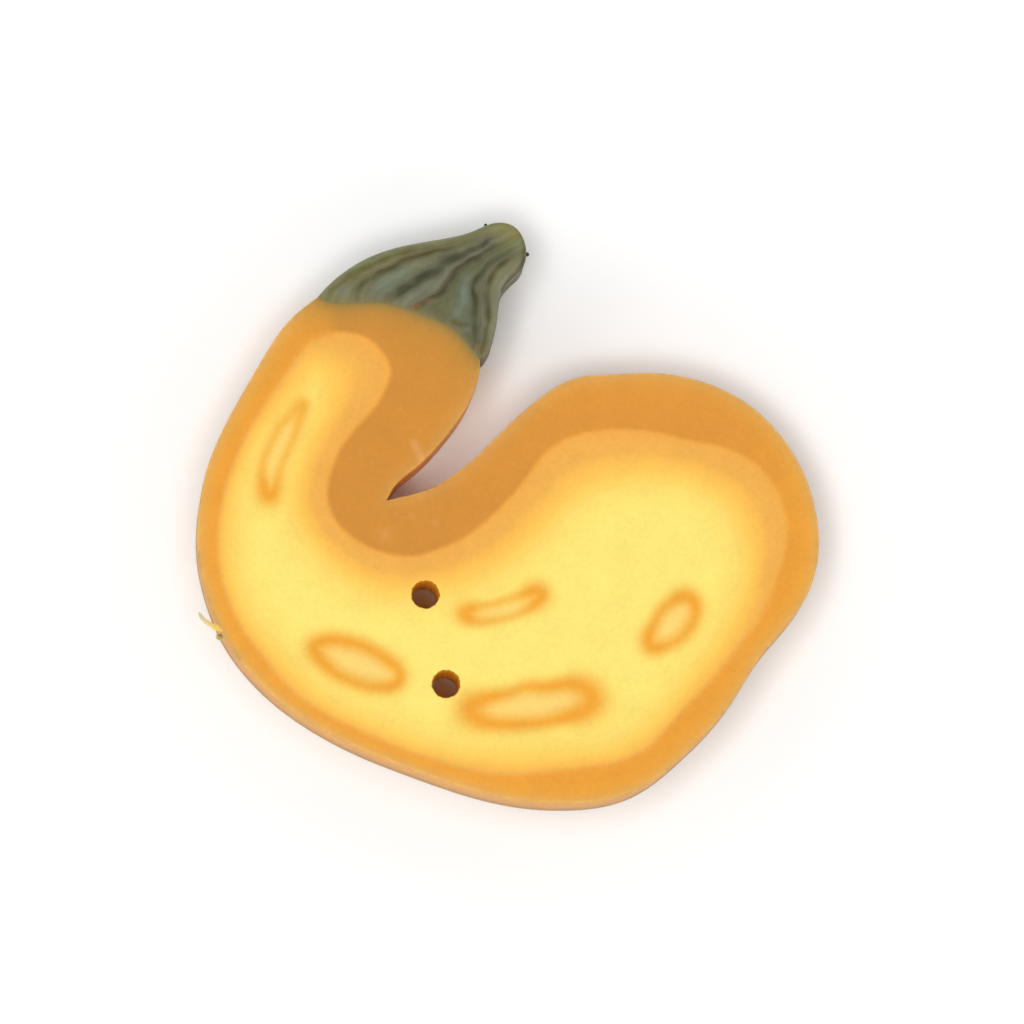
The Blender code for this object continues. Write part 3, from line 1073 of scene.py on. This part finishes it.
# Painted contact shadow at the foot of the wall
FOOT_SHADE = pigment(140, 112, 72)
# Painted warm bounce light for the walls deep in the notch
NOTCH_BOUNCE_ORANGE = (0.93, 0.42, 0.09, 1.0)
BORE_AMBER = (0.98, 0.50, 0.03, 1.0)
MOUTH_BROWN = pigment(172, 106, 40)
SCRAPE_PALE = pigment(240, 178, 118)
SMUDGE_BROWN = pigment(172, 140, 86)
WHITE_LINT = pigment(250, 226, 190)

# How far each tint reaches, in mm from the rim or the seam
GLOW_REACH, TAN_REACH = 0.50, 0.20
OLIVE_REACH, GREEN_REACH = 0.75, 0.16
FOLD_REACH = 0.05         # the wall's colour begins this close to the rim
CRISP_STEP = 0.14         # half width of the step between rind and flesh where it is crisp
SOFT_STEP = 0.30          # and where it is soft
ROPE_SPREAD = 1.15        # how much a seed's orange has spread past the rope's half width


def rind_and_flesh(tree, mottle):
    """The rind, tinted near the rim and the seam, turning into the flesh at the flesh line."""
    brightness = reading(tree, "rind_brightness")
    to_rim, to_seam = reading(tree, "to_rim"), reading(tree, "to_seam")
    rind = colour_scale(tree, brightness, RIND_SCALE)
    glow = times(tree, fade(tree, to_rim, GLOW_REACH), rise(tree, brightness, 0.0, 0.8))
    rind = over(tree, rind, RIM_GLOW, 0.75, glow)
    tan = times(tree, fade(tree, to_rim, TAN_REACH), rise(tree, brightness, -0.4, 0.5))
    rind = over(tree, rind, RIM_TAN, 0.85, tan)
    rind = over(tree, rind, SEAM_OLIVE, 0.95, fade(tree, to_seam, OLIVE_REACH))
    rind = over(tree, rind, SEAM_GREEN, 0.85, fade(tree, to_seam, GREEN_REACH))

    depth = work_out(tree, "MULTIPLY_ADD", mottle, 0.05, reading(tree, "flesh_depth"))
    crispness = reading(tree, "crispness")
    half_step = work_out(tree, "MULTIPLY_ADD", crispness, CRISP_STEP - SOFT_STEP, SOFT_STEP)
    in_flesh = rise(tree, depth, times(tree, half_step, -1.0), half_step)
    return blend(tree, in_flesh, rind, colour_scale(tree, reading(tree, "ripeness"), FLESH_SCALE))


def with_seeds(tree, colour):
    """The colour with pale kernels laid on it, then the ropes: each fades as a bell curve of
    the distance to its middle, over its own half width, and thin ropes are fainter."""
    seed_depth = reading(tree, "seed_depth")
    seed_width = reading(tree, "seed_width")
    colour = over(tree, colour, SEED_INSIDE, 0.85, rise(tree, seed_depth, 0.05, 0.35))
    rope_depth = work_out(tree, "DIVIDE", seed_depth, ROPE_SPREAD)
    off_ring = work_out(tree, "DIVIDE", rope_depth, seed_width)
    ring = work_out(tree, "EXPONENT", times(tree, work_out(tree, "POWER", off_ring, 2.0), -1.0))
    strength = work_out(tree, "MULTIPLY_ADD", seed_width, 2.4, 0.14, held=True)
    return blend(tree, times(tree, ring, strength), colour, SEED_RING)


def with_walls(tree, colour, on_wall):
    """The colour with the wall's tints: pale below a painted highlight along the fold, painted
    shade at the foot, painted warm bounce light deep in the notch, a smudge on the left and amber down the
    bores."""
    level = reading(tree, "level")
    colour = over(tree, colour, WALL_PALE, 0.9, on_wall)
    # Painted highlight: a brighter line along the fold at the top of the wall
    highlit_fold = rise(tree, reading(tree, "to_rim"), 0.09, 0.03)
    colour = over(tree, colour, FOLD_HIGHLIGHT, 0.3, times(tree, rise(tree, level, 0.88, 0.98), highlit_fold))
    # Painted contact shadow: the wall darkens towards its foot
    foot_shade = times(tree, on_wall, rise(tree, level, 0.50, 0.02))
    colour = over(tree, colour, FOOT_SHADE, 0.65, foot_shade)
    # Painted warm bounce light: the walls deep in the notch turn a deeper orange
    below = times(tree, on_wall, rise(tree, level, 0.98, 0.88))
    colour = over(tree, colour, NOTCH_BOUNCE_ORANGE, 0.9, times(tree, below, reading(tree, "notch")))
    smudge = times(tree, reading(tree, "smudge"), rise(tree, level, 0.45, 0.95))
    colour = over(tree, colour, SMUDGE_BROWN, 0.45, smudge)
    in_bore = rise(tree, reading(tree, "to_hole"), FOLD_REACH, 0.0)
    colour = blend(tree, in_bore, colour, BORE_AMBER)
    mouth = times(tree, in_bore, rise(tree, level, 0.92, 1.0))
    return blend(tree, mouth, colour, MOUTH_BROWN)


def paint_squash(tree, grain):
    """Colour of the amber clay from the readings on the body, layer by layer."""
    colour = with_seeds(tree, rind_and_flesh(tree, grain["Mottle"]))
    colour = over(tree, colour, SCRAPE_PALE, 0.45, reading(tree, "pale"))
    colour = over(tree, colour, WHITE_LINT, 0.10, grain["Specks"])
    to_rim = reading(tree, "to_rim")
    colour = with_walls(tree, colour, rise(tree, to_rim, FOLD_REACH, 0.0))
    patchy = work_out(tree, "MULTIPLY_ADD", rise(tree, to_rim, 0.12, 0.0), 0.40, 0.16)
    shade = work_out(tree, "MULTIPLY_ADD", grain["Mottle"], patchy, 1.0)
    return blend(tree, 1.0, colour, shade, mode="MULTIPLY")


amber_clay = clay_finish("amber clay", paint_squash, 0.03, 0.46, 0.15)
body.data.materials.append(amber_clay)
print("amber clay uses", len(amber_clay.node_tree.nodes), "nodes")

# %% [markdown]
# ## Green clay: the stem
#
# Two scales run over the bands from left to right: one for the light bands, one for the dark
# stripes between them. Fine streaks follow the bands, because the sheets were smeared when
# the stack was pinched.

# %% Green clay finish
BANDS = 7.0
LIGHT_SCALE = [
    (0.0, 145, 145, 114), (0.5, 127, 128, 97), (1.5, 126, 124, 93),
    (2.5, 120, 121, 95), (3.5, 123, 123, 103), (4.3, 103, 103, 75),
    (4.8, 113, 115, 92), (5.5, 115, 113, 92), (6.4, 124, 122, 92),
    (7.0, 142, 140, 120),
]
DARK_SCALE = [
    (1.0, 103, 99, 63), (2.0, 89, 82, 58), (3.0, 76, 78, 60),
    (4.0, 84, 77, 60), (5.0, 78, 77, 55), (6.0, 88, 84, 60),
]
TEAL = pigment(118, 129, 114)
RUST = pigment(134, 96, 60)
TIP_OLIVE = pigment(147, 142, 88)
SEAM_BLEED = pigment(136, 124, 80)
STEM_WALL = pigment(112, 107, 82)
# Painted shade along the stem's rounded edge
STEM_EDGE_SHADE = pigment(82, 77, 48)


def paint_stem(tree, grain):
    """Colour of the green clay from the readings on the stem."""
    bands = work_out(tree, "DIVIDE", reading(tree, "band"), BANDS)
    light = colour_scale(tree, bands, LIGHT_SCALE, BANDS)
    dark = colour_scale(tree, bands, DARK_SCALE, BANDS)
    light = blend(tree, reading(tree, "teal"), light, TEAL)
    # Dark stripes, hooks and painted shade along the right edge and the tip
    colour = blend(tree, reading(tree, "stripe"), light, dark)
    colour = blend(tree, reading(tree, "rust"), colour, RUST)
    near_tip = rise(tree, reading(tree, "to_tip"), 1.4, 0.3)
    colour = over(tree, colour, TIP_OLIVE, 0.55, near_tip)
    bleed = fade(tree, reading(tree, "to_seam"), 0.15)
    colour = over(tree, colour, SEAM_BLEED, 0.85, bleed)

    across, along = times(tree, reading(tree, "band"), 3.0), times(tree, reading(tree, "to_tip"), 0.5)
    place = node(tree, "ShaderNodeCombineXYZ", across, along).outputs[0]
    streak = node(tree, "ShaderNodeTexNoise", place)
    feed(tree, streak, {"Scale": 1.6, "Detail": 3.0})
    streaks = work_out(tree, "SUBTRACT", streak.outputs["Fac"], 0.5)
    mottle = work_out(tree, "MULTIPLY_ADD", streaks, 1.4, times(tree, grain["Mottle"], 0.5))
    shade = work_out(tree, "MULTIPLY_ADD", mottle, 0.6, 1.0)
    colour = blend(tree, 1.0, colour, shade, mode="MULTIPLY")
    colour = over(tree, colour, WHITE_LINT, 0.05, grain["Specks"])
    to_rim = reading(tree, "to_rim")
    # Painted shade: the stem darkens along its edge
    colour = over(tree, colour, STEM_EDGE_SHADE, 0.45, fade(tree, to_rim, 0.055))
    below = rise(tree, reading(tree, "level"), 0.98, 0.88)
    on_wall = times(tree, rise(tree, to_rim, FOLD_REACH, 0.0), below)
    return over(tree, colour, STEM_WALL, 0.7, on_wall)


green_clay = clay_finish("green striped clay", paint_stem, 0.03, 0.50, 0.04)
stem.data.materials.append(green_clay)
print("green clay uses", len(green_clay.node_tree.nodes), "nodes")

# %% [markdown]
# ## Scraps left by the knife
#
# Hand-cut clay keeps its scraps. A thin yellow curl hangs off the left rim, a greenish nub
# sticks to the wall below it, and two dark crumbs cling to the edge of the stem. The curl is
# a flat tube along a short curve, thin at both ends. A nub or crumb is a ball whose radius
# is pushed in and out by a few waves.

# %% The curl on the left rim


def scrap_finish(name, colour):
    """Plain baked clay with the shared grain, for a scrap of one colour."""
    def paint(tree, grain):
        shade = work_out(tree, "MULTIPLY_ADD", grain["Mottle"], 0.3, 1.0)
        return blend(tree, 1.0, colour, shade, mode="MULTIPLY")
    return clay_finish(name, paint, 0.02, 0.5, 0.10)


def closed_mesh(name, grid, finish):
    """Wraps a grid of points (rows along the piece, columns round it) into a closed skin:
    each row is a ring, and both end rows are filled with one face."""
    rows, columns, _ = grid.shape
    number = np.arange(rows * columns).reshape(rows, columns)
    here, beside = number, np.roll(number, -1, axis=1)
    quads = np.stack([here[:-1], beside[:-1], beside[1:], here[1:]], axis=-1).reshape(-1, 4)
    faces = quads.tolist() + [number[0, ::-1].tolist(), number[-1].tolist()]
    piece = new_piece(name, grid.reshape(-1, 3), faces)
    shell = bmesh.new()
    shell.from_mesh(piece.data)
    bmesh.ops.recalc_face_normals(shell, faces=shell.faces)
    shell.to_mesh(piece.data)
    shell.free()
    piece.data.materials.append(finish)
    return piece


CURL_PATH = [
    (-12.97, -4.24), (-12.82, -4.50), (-12.56, -4.72), (-12.28, -4.88), (-12.00, -5.00),
    (-11.74, -5.13), (-11.52, -5.28),
]
CURL_DROP = [0.45, 0.36, 0.22, 0.10, 0.04, 0.035, 0.035]     # below the face
CURL_HALF_WIDTH = 0.11
CURL_HALF_THICKNESS = 0.032
CURL_SCALE = [
    (0.0, 214, 208, 178), (0.3, 232, 208, 146), (0.55, 240, 198, 100),
    (0.8, 246, 190, 84), (1.0, 242, 176, 72),
]


def paint_curl(tree, grain):
    """Colour along the curl: dusty white at its free end, then yellow, then the rind's orange."""
    return colour_scale(tree, reading(tree, "along"), CURL_SCALE)


def make_curl(rings=40, around=16):
    """A flat tube along the path. Its cross-section is an ellipse that grows from a point
    with the root of a sine, and shrinks back the same way. Two waves make its width uneven."""
    path = smooth_curve(CURL_PATH, 0.01)
    share = np.linspace(0.0, 1.0, rings)
    place = share * (len(path) - 1)
    x, y = (np.interp(place, np.arange(len(path)), path[:, k]) for k in range(2))
    z = THICKNESS - np.interp(share, np.linspace(0.0, 1.0, len(CURL_DROP)), CURL_DROP)
    sideways = left_of(np.gradient(np.column_stack([x, y]), axis=0))
    size = 0.06 + np.sqrt(np.sin(np.pi * np.clip(share, 0.02, 0.98)))
    width = size * (1.0 + 0.25 * np.sin(19.0 * share) * np.sin(7.0 * share + 1.0))
    turn = np.linspace(0.0, 2.0 * np.pi, around, endpoint=False)
    out = CURL_HALF_WIDTH * width[:, None] * np.cos(turn)
    up = CURL_HALF_THICKNESS * size[:, None] * np.sin(turn)
    grid = np.stack([
        x[:, None] + sideways[:, :1] * out, y[:, None] + sideways[:, 1:] * out, z[:, None] + up,
    ], axis=-1)
    piece = closed_mesh("knife_curl", grid, clay_finish("curl of yellow clay", paint_curl, 0.02, 0.5, 0.10))
    hang_readings(piece, {"along": np.repeat(share, around)})
    return piece


curl = make_curl()
print("curl:", len(curl.data.polygons), "faces")

# %% The nub and the crumbs
# Each scrap: name, centre (its height counted down from the face), radii and looks
CRUMBS = [
    ("green_nub", (-12.11, -5.19, -1.20), (0.13, 0.12, 0.15), (188, 176, 114)),
    ("tip_crumb", (-0.93, 12.18, -0.24), (0.07, 0.08, 0.07), (62, 56, 46)),
    ("side_crumb", (0.80, 10.97, -0.30), (0.10, 0.09, 0.08), (84, 64, 50)),
]


def make_crumb(name, centre, radii, looks, rings=14, around=20):
    """A lumpy ball: rings of latitude whose radius is one plus two small waves."""
    down = np.linspace(0.04, np.pi - 0.04, rings)[:, None]
    turn = np.linspace(0.0, 2.0 * np.pi, around, endpoint=False)[None]
    lump = 1.0 + 0.14 * np.sin(3.0 * turn + 2.0 * down) * np.sin(2.0 * down)
    lump += 0.10 * np.cos(5.0 * turn - 3.0 * down) * np.sin(down)
    grid = np.stack([
        centre[0] + radii[0] * lump * np.sin(down) * np.cos(turn),
        centre[1] + radii[1] * lump * np.sin(down) * np.sin(turn),
        THICKNESS + centre[2] + radii[2] * lump * np.cos(down) * np.ones_like(turn),
    ], axis=-1)
    return closed_mesh(name, grid, scrap_finish("clay of the " + name.replace("_", " "), pigment(*looks)))


crumbs = [make_crumb(*crumb) for crumb in CRUMBS]
print("crumbs:", [crumb.name for crumb in crumbs])

# %% [markdown]
# ## Hold the pieces to the button
#
# Every piece rides on the one rigid body. The two slices stand in for the imported nodes, and
# the scraps have finishes of their own.

# %% Riding and replacing
for piece in [body, stem, curl] + crumbs:
    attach(piece, "root")
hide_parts("squash_body")
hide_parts("stem_cap")
print("pieces:", [piece.name for piece in [body, stem, curl] + crumbs])

# %% [markdown]
# ## Table, light and camera
#
# The button lies flat on a plain white sheet. It could be lit with area lamps, but a tiny
# object under a close lamp gets uneven light. A world that shines differently in different
# directions is the same over the whole sheet. Here it is a wide ring lamp round the camera,
# pushed a little to the front left, and a bright tent wall below it. Right overhead it is
# dark, as it is behind a lens, so the clay shows no glare and the holes stay brown. The
# camera itself sees the sky as white, so the sheet has no visible end.

# %% The sheet
SHEET_HALF = 1500.0       # mm from its middle to each edge


def make_sheet():
    """A flat, dull white square under the button."""
    corners = SHEET_HALF * np.array([(-1.0, -1.0, 0.0), (1.0, -1.0, 0.0), (1.0, 1.0, 0.0), (-1.0, 1.0, 0.0)])
    sheet = new_piece("white_sheet", corners, [(0, 1, 2, 3)])
    material, tree, shader = new_finish("white sheet")
    feed(tree, shader, {"Base Color": (0.90, 0.90, 0.90, 1.0), "Roughness": 0.9, "Specular IOR Level": 0.2})
    sheet.data.materials.append(material)
    return sheet


sheet = make_sheet()

# %% The light
# Angles are in degrees, from straight up unless it says otherwise
LAMP_LEAN = 7.0           # how far the ring lamp's middle leans over
LAMP_SIDE = -131.0        # compass direction that it leans to, counted from +X towards +Y
LAMP_REACH = 34.0         # the lamp fades from its own middle out to here
LENS_SHADE = (10.0, 24.0)  # dark inside the first angle, full light past the second
TENT_WALL = (44.8, 64.8)  # none inside the first angle, full light past the second
LAMP_POWER = 15.4
TENT_POWER = 1.69


def make_sky():
    """World whose brightness follows the angle from straight up and from the lamp's middle.

    The lamp is one S-shaped slope that falls with the angle from its own middle, times one
    that rises past the lens. The tent is a third slope that rises towards the horizon.
    """
    sky = bpy.data.worlds.new("ring lamp and tent")
    sky.use_nodes = True
    tree = sky.node_tree
    tree.nodes.clear()
    direction = node(tree, "ShaderNodeTexCoord").outputs["Generated"]
    height = node(tree, "ShaderNodeSeparateXYZ", direction).outputs["Z"]
    from_top = work_out(tree, "ARCCOSINE", height)
    lean, side = np.radians(LAMP_LEAN), np.radians(LAMP_SIDE)
    middle = (np.sin(lean) * np.cos(side), np.sin(lean) * np.sin(side), np.cos(lean))
    agreement = node(tree, "ShaderNodeVectorMath", direction, middle, operation="DOT_PRODUCT")
    from_lamp = work_out(tree, "ARCCOSINE", agreement.outputs["Value"])

    lamp = rise(tree, from_lamp, np.radians(LAMP_REACH), 0.0)
    past_lens = rise(tree, from_top, *np.radians(LENS_SHADE))
    lamp = times(tree, lamp, past_lens, LAMP_POWER)
    tent = rise(tree, from_top, *np.radians(TENT_WALL))
    strength = work_out(tree, "MULTIPLY_ADD", tent, TENT_POWER, lamp)

    white = (1.0, 1.0, 1.0, 1.0)
    light, seen = (node(tree, "ShaderNodeBackground", white, power).outputs[0] for power in (strength, 1.0))
    by_camera = node(tree, "ShaderNodeLightPath").outputs["Is Camera Ray"]
    choice = node(tree, "ShaderNodeMixShader", by_camera, light, seen)
    node(tree, "ShaderNodeOutputWorld", choice.outputs[0])
    return sky


bpy.context.scene.world = make_sky()
bpy.context.scene.view_settings.view_transform = "Standard"
bpy.context.scene.view_settings.look = "None"
print("lamp leans", LAMP_LEAN, "degrees and reaches", LAMP_REACH)

# %% [markdown]
# The camera looks almost straight down, tipped a little towards the underside and the left,
# so a thin strip of wall shows along the bottom edge. A long lens far away keeps the face
# flat, as a scan would.

# %% The camera
LENS = 500.0              # mm, on a sensor 36 mm wide
SENSOR = 36.0
VIEW_WIDTH = 43.0         # mm of the face plane that the picture is wide
LOOK_AT = Vector((0.165, 0.012, THICKNESS)) * MM
TIP_AZIMUTH = -19.6       # degrees, from which side the camera leans
TIP_ELEVATION = 83.0

a, e = np.radians(TIP_AZIMUTH), np.radians(TIP_ELEVATION)
back = Vector((np.sin(a) * np.cos(e), -np.cos(a) * np.cos(e), np.sin(e)))
upward = (Vector((0.0, 1.0, 0.0)) - back * back.y).normalized()
rightward = upward.cross(back)
turned = Matrix((rightward, upward, back)).transposed()
camera_data = bpy.data.cameras.new("camera")
camera_data.lens = LENS
camera_data.sensor_width = SENSOR
camera_data.clip_start = 0.01
camera = bpy.data.objects.new("camera", camera_data)
camera.matrix_world = Matrix.Translation(LOOK_AT + back * VIEW_WIDTH * MM * LENS / SENSOR) @ turned.to_4x4()
bpy.context.collection.objects.link(camera)
bpy.context.scene.camera = camera
print("camera stands", round((camera.matrix_world.translation - LOOK_AT).length, 3), "m away")
